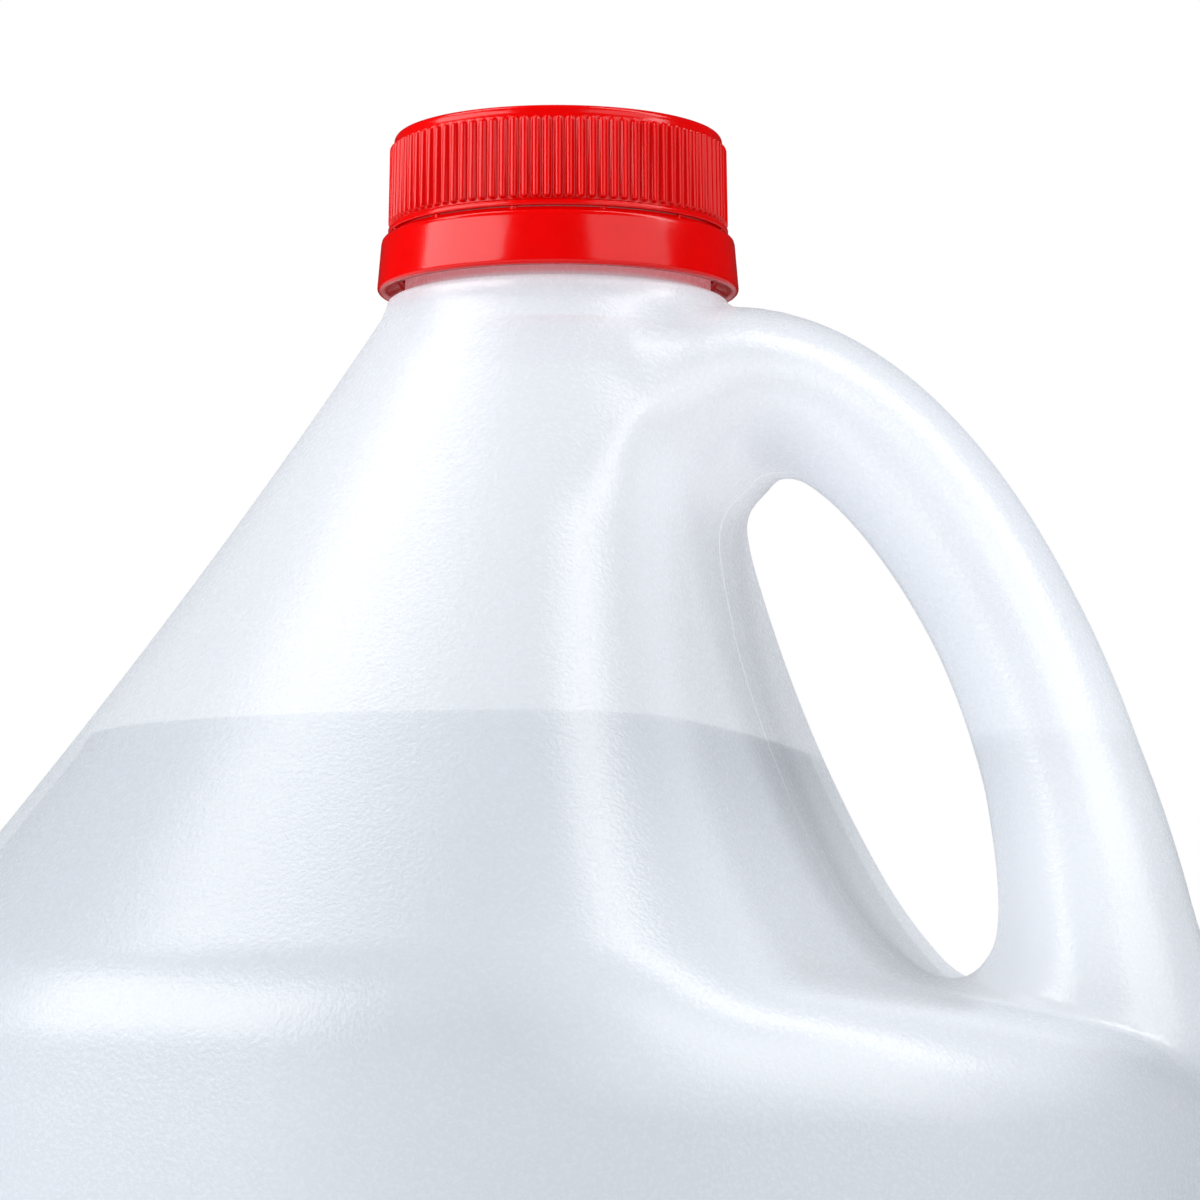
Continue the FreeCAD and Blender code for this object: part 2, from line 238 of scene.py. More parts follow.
class LoopHandle:
    """The handle's centreline in the plane Y = 0, with its oval section from place to place."""

    step = 0.5
    low = (-34.0, 146.0)
    high = (92.0, 264.0)
    start_outside_collar = 1.2
    end_below_shoulder = 10.0
    run_in_share = 0.75
    run_out = 10.0
    run_out_lean = 0.3
    foot_flare = 40.0
    thinning_degrees = (48, 62, 76, 90)
    thinning = (1, 0.91, 0.59, 0)
    swell_start = 0.77
    depth_fade = 1.5
    width_fade = 1.8
    stations = 320
    smoothing_rounds = 12
    smoothing_width = 17

    def __init__(self, sizes, collar_radius, cone_top, shoulder, body_radius):
        grip = np.array([sizes.grip_thickness, sizes.grip_width]) / MM
        foot = np.array([sizes.foot_thickness, sizes.foot_width]) / MM
        start = (collar_radius + self.start_outside_collar,
                 cone_top - sizes.root_drop / MM - grip[0] / 2)
        end = (body_radius - sizes.foot_margin / MM - foot[0] / 2,
               shoulder - self.end_below_shoulder)
        power = 2 / sizes.squareness
        degrees = np.linspace(0, 90, 181)
        turn = np.radians(degrees)
        x = start[0] + (end[0] - start[0]) * np.sin(turn) ** power
        z = end[1] + (start[1] - end[1]) * np.cos(turn) ** power
        thin = np.interp(degrees, self.thinning_degrees, self.thinning)[:, None]
        inward = np.linspace(self.run_in_share * collar_radius, 0, 40)[:-1]
        downward = np.linspace(0, self.run_out, 25)[1:]
        flare = (self.foot_flare - foot[1]) * downward / self.run_out
        line = np.concatenate([
            np.stack([start[0] - inward, np.full_like(inward, start[1])], 1),
            np.stack([x, z], 1),
            np.stack([end[0] - self.run_out_lean * downward, end[1] - downward], 1),
        ])
        section = np.concatenate([
            np.repeat(grip[None, :], len(inward), 0),
            foot + (grip - foot) * thin,
            np.stack([np.full_like(downward, foot[0]), foot[1] + flare], 1),
        ])
        beyond = line[:, 0] - self.swell_start * collar_radius
        deeper = self.swell(beyond, sizes.swell_depth, sizes.swell_depth_reach, self.depth_fade)
        wider = self.swell(beyond, sizes.swell_width, sizes.swell_width_reach, self.width_fade)
        section += np.stack([deeper, wider], 1)
        line[:, 1] -= deeper / 2
        line, section = self.evened(line, section)
        half_thick, half_wide = self.eased(section[:, 0] / 2), self.eased(section[:, 1] / 2)
        along = np.gradient(line, axis=0)
        along /= np.linalg.norm(along, axis=1)[:, None]

        columns = np.arange(self.low[0], self.high[0] + self.step, self.step)
        rows = np.arange(self.low[1], self.high[1] + self.step, self.step)
        px, pz = np.meshgrid(columns, rows, indexing="ij")
        nearest = np.zeros(px.shape, int)
        for i in range(len(columns)):
            away = (px[i][:, None] - line[:, 0]) ** 2 + (pz[i][:, None] - line[:, 1]) ** 2
            nearest[i] = away.argmin(1)
        near = line[nearest]
        heading = along[nearest]
        offset_x, offset_z = px - near[..., 0], pz - near[..., 1]
        across = offset_x * -heading[..., 1] + offset_z * heading[..., 0]
        beyond_root = -((px - line[0, 0]) * along[0, 0] + (pz - line[0, 1]) * along[0, 1])
        beyond_foot = (px - line[-1, 0]) * along[-1, 0] + (pz - line[-1, 1]) * along[-1, 1]
        self.tables = np.stack([across, half_thick[nearest], half_wide[nearest],
                                np.maximum(beyond_root, beyond_foot)], -1)

    @staticmethod
    def swell(beyond, most, reach, fade):
        """Growth inside the neck that fades to nothing over its reach outward."""
        return most / MM * np.clip(1 - beyond / (reach / MM), 0, 1) ** fade

    def evened(self, line, section):
        """The same line and section at even distances, with the line's corners eased."""
        reach = np.concatenate([[0], np.cumsum(np.linalg.norm(np.diff(line, axis=0), axis=1))])
        even = np.linspace(0, reach[-1], self.stations)
        line = np.stack([np.interp(even, reach, values) for values in line.T], 1)
        section = np.stack([np.interp(even, reach, values) for values in section.T], 1)
        for _ in range(self.smoothing_rounds):
            line[1:-1] = (line[:-2] + 2 * line[1:-1] + line[2:]) / 4
        return line, section

    def eased(self, values):
        """A running mean that keeps the length of the row."""
        kernel = np.hanning(self.smoothing_width)
        padded = np.pad(values, self.smoothing_width // 2, mode="edge")
        return np.convolve(padded, kernel / kernel.sum(), mode="valid")

    def distance(self, x, y, z):
        """Distance to the oval section at the nearest place of the line, negative inside."""
        x, z = np.broadcast_arrays(x, z)
        u = np.clip((x - self.low[0]) / self.step, 0, self.tables.shape[0] - 1.001)
        v = np.clip((z - self.low[1]) / self.step, 0, self.tables.shape[1] - 1.001)
        i, j = u.astype(int), v.astype(int)
        fu, fv = (u - i)[..., None], (v - j)[..., None]
        t = self.tables
        found = ((t[i, j] * (1 - fu) + t[i + 1, j] * fu) * (1 - fv)
                 + (t[i, j + 1] * (1 - fu) + t[i + 1, j + 1] * fu) * fv)
        across, half_thick, half_wide, beyond = (found[..., k] for k in range(4))
        ratio = np.hypot(across / half_thick, y / half_wide)
        slope = np.hypot(across / half_thick ** 2, y / half_wide ** 2)
        oval = ratio * (ratio - 1) / np.maximum(slope, 1e-6)
        return np.maximum(oval, beyond)


class BlownBody:
    """Distance field of the blown body: negative inside the skin."""

    collar_radius = 20.8
    base_rounding = 12.0
    push_up = 6.0
    standing_ring = 8.0
    collar_fillet = 1.5
    collar_row = 0.7
    moulded_low = 150.0
    station_slope = math.radians(-80)
    top_turn = math.radians(20)
    panel_turn = math.radians(33)
    floor_bend = 9
    floor_slope = math.radians(-12)
    flow_change = (235, 215)
    rim_change = (250, 230)
    wall_rows = (30, 60, 90, 120, 140)
    onward = 100

    def __init__(self, sizes):
        self.radius = sizes.body_radius / MM
        self.cone_top = sizes.cone_top / MM
        self.shoulder = self.cone_top - sizes.cone_height / MM
        self.rim = (sizes.rim_rounding_at_root / MM, sizes.rim_rounding / MM)
        self.flow = (sizes.root_flow / MM, sizes.foot_flow / MM)
        self.crease = sizes.crease_rounding / MM
        rounding = sizes.shoulder_rounding / MM
        hollow = sizes.cone_hollow / MM

        low = np.array([self.radius, self.shoulder])
        high = np.array([self.collar_radius, self.cone_top])
        half = (high - low) / 2
        outward = np.array([half[1], -half[0]]) / np.linalg.norm(half)
        centre = low + half + outward * math.sqrt(hollow ** 2 - half @ half)
        bend_x = self.radius - rounding
        bend_z = centre[1] - math.sqrt((hollow + rounding) ** 2 - (bend_x - centre[0]) ** 2)
        facing = centre - np.array([bend_x, bend_z])
        cone_heading = math.atan2(facing[0], -facing[1])
        to_top = high - centre
        top_heading = math.atan2(-to_top[0], to_top[1])
        fillet = self.collar_fillet
        short = fillet * math.tan((top_heading - math.pi / 2) / 2) / hollow
        self.side, _, _ = outline((self.radius, self.base_rounding), math.pi / 2, [
            (None, bend_z - self.base_rounding),
            (rounding, cone_heading - math.pi / 2),
            (-hollow, top_heading + short - cone_heading),
            (-fillet, math.pi / 2 - top_heading - short),
            (None, self.onward),
        ])

        station = np.array([self.collar_radius - sizes.panel_setback / MM,
                            self.cone_top - sizes.panel_station / MM])
        self.panel_axis = station[0] - sizes.panel_bow / MM
        top_radius = sizes.panel_top / MM
        top_heading = self.station_slope - self.top_turn
        top = station + top_radius * (left_of(self.station_slope) - left_of(top_heading))
        above = top - self.onward * np.array([math.cos(top_heading), math.sin(top_heading)])
        self.panel, _, _ = outline(above, top_heading, [
            (None, self.onward),
            (top_radius, self.top_turn),
            (sizes.panel_main / MM, sizes.panel_main_turn),
            (sizes.panel_low / MM, self.panel_turn - sizes.panel_main_turn),
            (None, self.onward),
        ])
        foot_start, heading, _ = self.panel[-1]
        _, self.floor_point, _ = outline(foot_start, heading,
                                         [(self.floor_bend, self.floor_slope - heading)])
        self.floor_left = left_of(self.floor_slope)
        self.handle = LoopHandle(sizes, self.collar_radius, self.cone_top,
                                 self.shoulder, self.radius)

    def distance(self, x, y, z):
        """Round body, less the pocket beside the handle, with the handle added."""
        across = np.hypot(x, y)
        round_form = right_of(self.side, across, z)
        bowed = np.hypot(x - self.panel_axis, y) + self.panel_axis
        panel = right_of(self.panel, bowed, z)
        floor = -((x - self.floor_point[0]) * self.floor_left[0]
                  + (z - self.floor_point[1]) * self.floor_left[1])
        handle = self.handle.distance(x, y, z)
        flow = self.downward(self.flow, z, self.flow_change)
        rim = self.downward(self.rim, z, self.rim_change)
        pocket = soft_max(soft_max(panel, -handle, flow), floor, self.crease)
        skin = soft_max(round_form, -pocket, rim)
        return -soft_max(-skin, -handle, self.crease)

    @staticmethod
    def downward(ends, z, heights):
        """A rounding that changes from its first to its second value between two heights."""
        return ends[0] + (ends[1] - ends[0]) * smooth(-z, -heights[0], -heights[1])

    def inset(self, depth):
        """The same field that far inside the skin."""
        return lambda x, y, z: self.distance(x, y, z) + depth

    def base_rows(self, inset):
        """Radius and height of the rows below the moulded part, from the middle of the base up."""
        ring = self.radius - self.base_rounding
        inner = ring - self.standing_ring
        flat = inner - self.push_up
        rows = [(part * flat, inset + self.push_up) for part in (0.02, 0.3, 0.6, 0.9, 0.985)]
        rows += [(flat + 0.6, inset + self.push_up - 0.25), (inner - 0.6, inset + 0.25),
                 (inner + 0.25, inset), ((inner + ring) / 2, inset)]
        rows += rounding(ring, self.base_rounding, self.base_rounding - inset,
                         np.linspace(-90, 0, 9))
        return rows + [(self.radius - inset, height) for height in self.wall_rows]


# ---- Meshes ----

def beside(at, across, steps):
    """Cells a step away from an edge in the two directions across it."""
    cell = at.copy()
    cell[:, across] += steps
    return cell


def surface_net(field, low, step):
    """Zero level of a sampled field, as corners, four-sided faces and each corner's cell."""
    cells = np.array(field.shape) - 1
    total = np.zeros(tuple(cells) + (3,))
    hits = np.zeros(tuple(cells), int)
    found = []
    for axis in range(3):
        across = [(axis + 1) % 3, (axis + 2) % 3]
        count = field.shape[axis] - 1
        first = np.take(field, range(count), axis)
        second = np.take(field, range(1, count + 1), axis)
        at = np.argwhere((first < 0) != (second < 0))
        a, b = first[tuple(at.T)], second[tuple(at.T)]
        place = at.astype(float)
        place[:, axis] += a / (a - b)
        for steps in ((0, 0), (0, -1), (-1, 0), (-1, -1)):
            cell = beside(at, across, steps)
            kept = ((cell >= 0) & (cell < cells)).all(1)
            index = tuple(cell[kept].T)
            np.add.at(total, index, place[kept])
            np.add.at(hits, index, 1)
        inner = ((at[:, across] > 0) & (at[:, across] < cells[across])).all(1)
        found.append((across, at[inner], a[inner] < 0))
    cell_of = np.argwhere(hits > 0)
    number = np.full(tuple(cells), -1)
    number[tuple(cell_of.T)] = np.arange(len(cell_of))
    middle = total[tuple(cell_of.T)] / hits[tuple(cell_of.T)][:, None]
    corners = np.array(low) + middle * np.array(step)
    faces = []
    for across, at, rising in found:
        quad = np.stack([number[tuple(beside(at, across, steps).T)]
                         for steps in ((-1, -1), (0, -1), (0, 0), (-1, 0))], 1)
        faces.append(np.where(rising[:, None], quad, quad[:, ::-1]))
    return corners, np.concatenate(faces), cell_of


def settled(points, distance, passes=2):
    """Points moved square onto the zero level."""
    reach = 0.05
    least_slope = 0.2
    for _ in range(passes):
        value = distance(points[:, 0], points[:, 1], points[:, 2])
        slope = np.empty_like(points)
        for axis in range(3):
            ahead, behind = points.copy(), points.copy()
            ahead[:, axis] += reach
            behind[:, axis] -= reach
            slope[:, axis] = (distance(*ahead.T) - distance(*behind.T)) / (2 * reach)
        steepness = np.maximum((slope ** 2).sum(1), least_slope)
        points = points - slope * (value / steepness)[:, None]
    return points


def evened_net(corners, faces, held, distance, rounds=4, eagerness=0.6):
    """Corners spread evenly over the surface; held corners stay."""
    first = faces.ravel()
    second = np.roll(faces, -1, axis=1).ravel()
    ends = np.concatenate([first, second])
    others = np.concatenate([second, first])
    degree = np.bincount(ends, minlength=len(corners))
    for _ in range(rounds):
        mean = np.stack([np.bincount(ends, corners[others, axis], len(corners))
                         for axis in range(3)], 1)
        moved = corners + eagerness * (mean / degree[:, None] - corners)
        moved = settled(moved, distance, 1)
        corners = np.where(held[:, None], corners, moved)
    return corners


def placed(name, data):
    """A new object in the scene."""
    thing = bpy.data.objects.new(name, data)
    bpy.context.scene.collection.objects.link(thing)
    return thing


class Piece:
    """Corners and faces of one piece, in millimetres."""

    def __init__(self):
        self.corners = []
        self.faces = []
        self.count = 0

    def add(self, points):
        points = np.asarray(points, float).reshape(-1, 3)
        self.corners.append(points)
        self.count += len(points)
        return np.arange(self.count - len(points), self.count)

    def join(self, below, above):
        """Quads between two rows of corners; seen from outside, above is on top."""
        self.faces += zip(below, np.roll(below, -1), np.roll(above, -1), above)

    def rows(self, angles, profile, first=None, last=None):
        """Rows round the axis; a profile entry is a radius, or an array of radii, and a height."""
        previous = first
        for radius, height in profile:
            radius = np.broadcast_to(radius, angles.shape)
            row = self.add(np.stack([radius * np.cos(angles), radius * np.sin(angles),
                                     np.broadcast_to(height, angles.shape)], 1))
            if previous is not None:
                self.join(previous, row)
            previous = row
        if last is not None:
            self.join(previous, last)
        return previous

    def disc(self, row, centre, facing_up=True):
        middle = self.add([centre])[0]
        first, second = row, np.roll(row, -1)
        if not facing_up:
            first, second = second, first
        self.faces += [(a, b, middle) for a, b in zip(first, second)]

    def object(self, name, material, body, replaced):
        mesh = bpy.data.meshes.new(name)
        corners = np.concatenate(self.corners) * MM
        mesh.from_pydata(corners.tolist(), [], [[int(i) for i in face] for face in self.faces])
        mesh.polygons.foreach_set("use_smooth", [True] * len(mesh.polygons))
        mesh.materials.append(material)
        mesh.validate()
        piece = placed(name, mesh)
        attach(piece, body)
        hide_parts(replaced)
        return piece


def crossed(inside, cell):
    """Cells that the outline of a plane passes through, given which of its corners lie inside."""
    around = np.stack([inside[:-1, :-1], inside[1:, :-1], inside[:-1, 1:], inside[1:, 1:]])
    mixed = around.any(0) & ~around.all(0)
    return mixed[cell[:, 0], cell[:, 1]]


def moulded_skin(piece, distance, low_z, high_z, reach, step):
    """The part of the body that isn't round, between two heights; gives its two end loops."""
    half = math.ceil((reach + 2 * step) / step)
    columns = np.arange(-half, half + 1) * step + 0.37 * step
    layers = round((high_z - low_z) / step)
    rise = (high_z - low_z) / layers
    heights = low_z + rise * np.arange(layers + 1)
    x = columns[:, None, None]
    y = columns[None, :, None]
    z = heights[None, None, :]
    field = distance(x, y, z)
    corners, faces, cell = surface_net(field, (columns[0], columns[0], low_z), (step, step, rise))
    bottom, top = (crossed(field[..., end] < 0, cell) & (cell[:, 2] == end % layers)
                   for end in (0, -1))
    corners[bottom, 2] = low_z
    corners[top, 2] = high_z
    held = bottom | top
    loops = settled(corners[held], distance)
    loops[:, 2] = corners[held, 2]
    corners[held] = loops
    corners = evened_net(corners, faces, held, distance)
    numbers = piece.add(corners)
    piece.faces += numbers[faces].tolist()
    return [round_order(corners[end], numbers[end]) for end in (bottom, top)]


def round_order(corners, numbers):
    """Corner numbers and angles of a round loop, anticlockwise."""
    angles = np.arctan2(corners[:, 1], corners[:, 0]) % TAU
    order = np.argsort(angles)
    return numbers[order], angles[order]


def blown_form(piece, body, inset, high_z, step):
    """Base, side wall and moulded part up to a height; gives the open loop on top."""
    (low_row, low_angles), top_loop = moulded_skin(
        piece, body.inset(inset), body.moulded_low, high_z, body.radius, step)
    rows = body.base_rows(inset)
    centre = piece.rows(low_angles, rows[:1])
    piece.disc(centre, (0, 0, body.push_up + inset), facing_up=False)
    piece.rows(low_angles, rows[1:], first=centre, last=low_row)
    return top_loop


def thread_relief(angles, height, start, turns, pitch):
    """How much of the thread's height stands at each angle of a row."""
    run_out = 0.35
    relief = np.zeros_like(angles)
    for lap in range(3):
        turned = angles + TAU * lap
        middle = start + pitch * turned / TAU
        away = np.abs(height - middle)
        ridge = smooth(-away, -THREAD_FOOT / 2, -THREAD_TOP / 2)
        ends = smooth(turned, 0, run_out) * smooth(-turned, -TAU * turns, run_out - TAU * turns)
        relief = np.maximum(relief, ridge * ends)
    return relief


# ---- Shader maths ----

class Value:
    """A number that changes over a surface; arithmetic on it adds Math nodes."""

    def __init__(self, finish, socket):
        self.finish = finish
        self.socket = socket

    def math(self, operation, *others):
        node = self.finish.add("ShaderNodeMath", {"operation": operation},
                               dict(enumerate((self,) + others)))
        return Value(self.finish, node.outputs[0])

    def __add__(self, other):
        return self.math("ADD", other)

    def __sub__(self, other):
        return self.math("SUBTRACT", other)

    def __rsub__(self, other):
        return (self * -1) + other

    def __mul__(self, other):
        return self.math("MULTIPLY", other)

    __radd__ = __add__
    __rmul__ = __mul__

    def __abs__(self):
        return self.math("ABSOLUTE")

    def most(self, other):
        return self.math("MAXIMUM", other)

    def eased(self, low, high):
        """0 at low, 1 at high, smooth between; low may be above high."""
        node = self.finish.add("ShaderNodeMapRange", {"interpolation_type": "SMOOTHSTEP"},
                               {"Value": self, "From Min": low, "From Max": high})
        return Value(self.finish, node.outputs[0])


class Nodes:
    """The nodes of a material or a world, from an empty start."""

    def __init__(self, owner):
        owner.use_nodes = True
        self.tree = owner.node_tree
        self.tree.nodes.clear()

    def add(self, kind, settings=None, values=None):
        """A node with its settings made first, and then the values or links of its sockets."""
        node = self.tree.nodes.new(kind)
        for key, setting in (settings or {}).items():
            setattr(node, key, setting)
        for key, value in (values or {}).items():
            socket = node.inputs[key]
            if isinstance(value, Value):
                value = value.socket
            if isinstance(value, bpy.types.NodeSocket):
                self.tree.links.new(value, socket)
            elif isinstance(socket.default_value, (int, float)):
                socket.default_value = value
            elif len(socket.default_value) == 4 and len(value) == 3:
                socket.default_value = (*value, 1)
            else:
                socket.default_value = value
        return node


class Finish(Nodes):
    """A material under construction."""

    def __init__(self, name):
        self.material = bpy.data.materials.new(name)
        super().__init__(self.material)

    def place(self):
        """Position on the object in millimetres: the vector and its three numbers."""
        coordinates = self.add("ShaderNodeTexCoord")
        vector = self.add("ShaderNodeVectorMath", {"operation": "SCALE"},
                          {0: coordinates.outputs["Object"], "Scale": 1 / MM}).outputs[0]
        parts = self.add("ShaderNodeSeparateXYZ", None, {0: vector})
        return vector, [Value(self, parts.outputs[k]) for k in range(3)]

    def grain(self, vector, millimetres, detail=2.0, roughness=0.5):
        """Even noise with features of about that size."""
        node = self.add("ShaderNodeTexNoise", None,
                        {"Vector": vector, "Scale": 1 / millimetres, "Detail": detail,
                         "Roughness": roughness})
        return Value(self, node.outputs[0])

    def tones(self, factor, first, second):
        """Colour between two tones."""
        node = self.add("ShaderNodeMix", {"data_type": "RGBA"}, {0: factor, 6: first, 7: second})
        return node.outputs[2]

    def mottled(self, noise, colour_of, darkest):
        """A colour that the noise darkens a little in places."""
        return self.tones(noise.eased(0.3, 0.7), [c * darkest for c in colour_of], colour_of)

    def relief(self, height, millimetres, strength=1.0, under=None):
        """Normal with bumps; height runs from 0 to 1 over that depth."""
        values = {"Height": height, "Distance": millimetres * MM, "Strength": strength}
        if under is not None:
            values["Normal"] = under
        return self.add("ShaderNodeBump", None, values).outputs[0]

    def principled(self, values):
        """The main shader of every finish."""
        return self.add("ShaderNodeBsdfPrincipled", None, values).outputs[0]

    def lit_through(self, shader, colour_of, part):
        """A shader, part of which is light that comes through from behind."""
        glow = self.add("ShaderNodeBsdfTranslucent", None, {"Color": colour_of})
        mixed = self.add("ShaderNodeMixShader", None, {0: part, 1: shader, 2: glow.outputs[0]})
        return mixed.outputs[0]

    def surface(self, shader):
        """The finished material."""
        self.add("ShaderNodeOutputMaterial", None, {"Surface": shader})
        return self.material


def natural_polyethylene(settings):
    """Milky blown polyethylene with a fine pebble, its parting seam and the pinched band, with a
    painted glow, painted highlights on the band's folds and a painted red reflection on the neck.
    """
    finish = Finish("natural_polyethylene")
    vector, (x, y, z) = finish.place()
    pebble = finish.grain(vector, settings.pebble_size / MM, 2.5, 0.6)
    wave = finish.grain(vector, 22, 1.0)
    cloud = finish.grain(vector, 60, 2.0)

    # Across the slanting panel: the pinched band lies inward of 116 and the handle outward
    outward = x * 0.92 + z * 0.38
    pinched = outward.eased(117.5, 116) * x.eased(8, 12) * z.eased(257, 252)
    handle_side = outward.eased(109, 116) * abs(y).eased(16, 12) * z.eased(166, 174)
    ledge = abs(y).eased(3.3, 2.8) * pinched
    # Painted highlight: a thin glow along the two folds at the edges of the pinched band
    painted_fold_highlight = abs(abs(y) - 3).eased(0.4, 0.1) * pinched
    seam = abs(y).eased(0.22, 0.0) * (1 - pinched)

    # Painted reflection: the red light that the band sheds on the neck under it, and faintly on
    # the collar, painted as base colour and glow
    under_band = z.eased(261.0, 261.8) * z.eased(267.5, 265.5)
    on_collar = z.eased(258.5, 261.0) * z.eased(262.5, 261.5)
    painted_red_bounce = under_band * 0.85 + on_collar * 0.1

    # Painted glow: stronger emission on the foot of the pocket and on the side wall lifts their
    # shade
    painted_pocket_glow = x.eased(10, 38) * x.eased(76, 64) * z.eased(225, 186) * z.eased(160, 172)
    wall = z.eased(182, 164) * x.eased(78, 66)

    under = finish.relief(wave, 0.25, 0.5)
    grained = finish.relief(pebble, 0.07, 1.0, under)
    lined = finish.relief(ledge + seam * 0.2, 0.35, 1.0, grained)
    shade = finish.mottled(cloud, settings.body_colour, 0.97)
    shade = finish.tones(painted_red_bounce, shade, settings.painted_neck_reflection)
    painted_glow = finish.tones(painted_pocket_glow.most(wall * 0.25), settings.body_glow,
                             [c * 2.5 for c in settings.body_glow])
    painted_glow = finish.tones(painted_fold_highlight * 0.8, painted_glow, [c * 2.2 for c in settings.body_glow])
    painted_glow = finish.tones(painted_red_bounce, painted_glow, settings.painted_neck_reflection)
    skin = finish.principled({
        "Base Color": shade,
        "Roughness": 0.22 + pebble.eased(0.3, 0.7) * 0.08,
        "Normal": lined,
        "IOR": 1.5,
        "Specular IOR Level": 1.0,
        "Alpha": settings.body_alpha + handle_side * (0.97 - settings.body_alpha),
        # The emission paints a glow over the whole skin in place of light through the wall
        "Emission Color": painted_glow,
        "Emission Strength": 0.3,
    })
    return finish.surface(finish.lit_through(skin, settings.body_glow, 0.38))


def red_polypropylene(settings):
    """Glossy moulded polypropylene with faint flow marks."""
    finish = Finish("red_polypropylene")
    vector, _ = finish.place()
    flow = finish.grain(vector, 3.0, 2.0)
    fine = finish.grain(vector, 0.25, 2.0)
    normal = finish.relief(fine, 0.006, 0.35, finish.relief(flow, 0.05, 0.25))
    return finish.surface(finish.principled({
        "Base Color": finish.mottled(flow, settings.cap_colour, 0.94),
        "Roughness": 0.13 + fine.eased(0.3, 0.7) * 0.06,
        "Normal": normal,
        "IOR": 1.49,
        "Specular IOR Level": 0.24,
    }))


def clear_liquid(settings):
    """Clear liquid as it looks through the milky wall: a soft cool grey."""
    finish = Finish("clear_liquid")
    vector, (_, _, z) = finish.place()
    drift = finish.grain(vector, 70, 1.0)
    body = finish.principled({
        "Base Color": finish.mottled(drift, settings.liquid_colour, 0.97),
        "Roughness": 0.12 + drift * 0.05,
        "IOR": 1.37,
        "Alpha": 0.85,
        "Normal": finish.relief(drift, 0.1, 0.2),
    })
    return finish.surface(finish.lit_through(body, settings.liquid_colour, 0.35))


def white_foam(settings):
    """Closed-cell foam disc."""
    finish = Finish("white_foam")
    vector, _ = finish.place()
    cells = finish.add("ShaderNodeTexVoronoi", None, {"Vector": vector, "Scale": 4.0})
    cell = Value(finish, cells.outputs[0])
    shade = finish.tones(cell.eased(0.1, 0.6), settings.liner_colour,
                         [c * 0.93 for c in settings.liner_colour])
    return finish.surface(finish.principled({
        "Base Color": shade,
        "Roughness": 0.6 + cell * 0.2,
        "Normal": finish.relief(cell, 0.05, 0.5),
        "Specular IOR Level": 0.3,
    }))


# ---- Pieces ----

class JUG_OT_blown_body(bpy.types.Operator):
    """Builds the blown jug with handle, pocket, base and neck"""

    bl_idname = "jug.blown_body"
    bl_label = "Blown Body"

    collar_height = 1.6
    collar_edge = 0.8
    ring_radius = 18.55
    bead_radius = 19.75
    bead_under_lip = 14
    bead_height = 0.95
    neck_radius = 17.6
    thread_radius = 18.6
    lip_edge = 0.5
    bore = 15.75
    throat_step = 2.85

    def execute(self, context):
        sizes = context.scene.jug_body
        body = BlownBody(sizes)
        piece = Piece()
        row, angles = blown_form(piece, body, 0, body.cone_top + body.collar_row,
                                 sizes.skin_step / MM)
        self.neck(piece, body, angles, row, context.scene.jug_closure.thread_pitch / MM)
        piece.object("blown_jug", natural_polyethylene(context.scene.jug_finishes), "jug", "jug")
        return {"FINISHED"}

    def neck(self, piece, body, angles, row, pitch):
        """Collar, bead, thread, lip and bore, one row above the other."""
        lip = jug_high[2]
        collar = body.cone_top + self.collar_height
        edge = self.collar_edge
        wall, ring, bead, bore = self.neck_radius, self.ring_radius, self.bead_radius, self.bore
        bead_low = lip - self.bead_under_lip
        bead_high = bead_low + self.bead_height
        profile = [(body.collar_radius, collar - edge)]
        profile += rounding(body.collar_radius - edge, collar - edge, edge,
                            np.linspace(22.5, 90, 4))
        profile += [(19.3, collar), (ring + 0.15, collar + 0.02), (ring, collar + 0.2),
                    (ring, bead_low - 0.15), (ring + 0.15, bead_low), (bead - 0.1, bead_low),
                    (bead, bead_low + 0.1), (bead, bead_high - 0.1), (bead - 0.1, bead_high),
                    (wall + 0.15, bead_high + 0.7), (wall, bead_high + 0.85)]
        start = lip - THREAD_UNDER_LIP - THREAD_TURNS * pitch
        for height in np.arange(bead_high + 1.1, lip - self.lip_edge, 0.25):
            relief = thread_relief(angles, height, start, THREAD_TURNS, pitch)
            profile.append((wall + (self.thread_radius - wall) * relief, height))
        throat = bore + self.throat_step
        profile += [(wall, lip - self.lip_edge), (wall - 0.15, lip - 0.15),
                    (wall - self.lip_edge, lip),
                    (bore + 0.3, lip), (bore + 0.08, lip - 0.08), (bore, lip - 0.3),
                    (bore, lip - 8), (bore, body.cone_top + 3.0),
                    (bore + 0.1, body.cone_top + 2.75), (throat - 0.1, body.cone_top + 0.1),
                    (throat, body.cone_top - 0.4), (throat, body.cone_top - 3)]
        piece.rows(angles, profile, first=row)


class JUG_OT_liquid(bpy.types.Operator):
    """Builds the liquid that fills body and handle up to its level"""

    bl_idname = "jug.liquid"
    bl_label = "Liquid"

    wall = 1.4
    settling = 0.5

    def execute(self, context):
        sizes = context.scene.jug_body
        body = BlownBody(sizes)
        level = liquid_high[2] - self.settling
        piece = Piece()
        blown_form(piece, body, self.wall, level, 2 * sizes.skin_step / MM)
        liquid = piece.object("liquid_fill", clear_liquid(context.scene.jug_finishes),
                              "jug", "liquid")
        shape = bmesh.new()
        shape.from_mesh(liquid.data)
        rim = [edge for edge in shape.edges
               if edge.is_boundary and min(v.co.z for v in edge.verts) > (level - 0.2) * MM]
        level_faces = bmesh.ops.triangle_fill(shape, use_beauty=True, edges=rim, normal=(0, 0, 1))
        for face in level_faces["geom"]:
            if isinstance(face, bmesh.types.BMFace):
                face.smooth = False
        shape.to_mesh(liquid.data)
        shape.free()
        return {"FINISHED"}


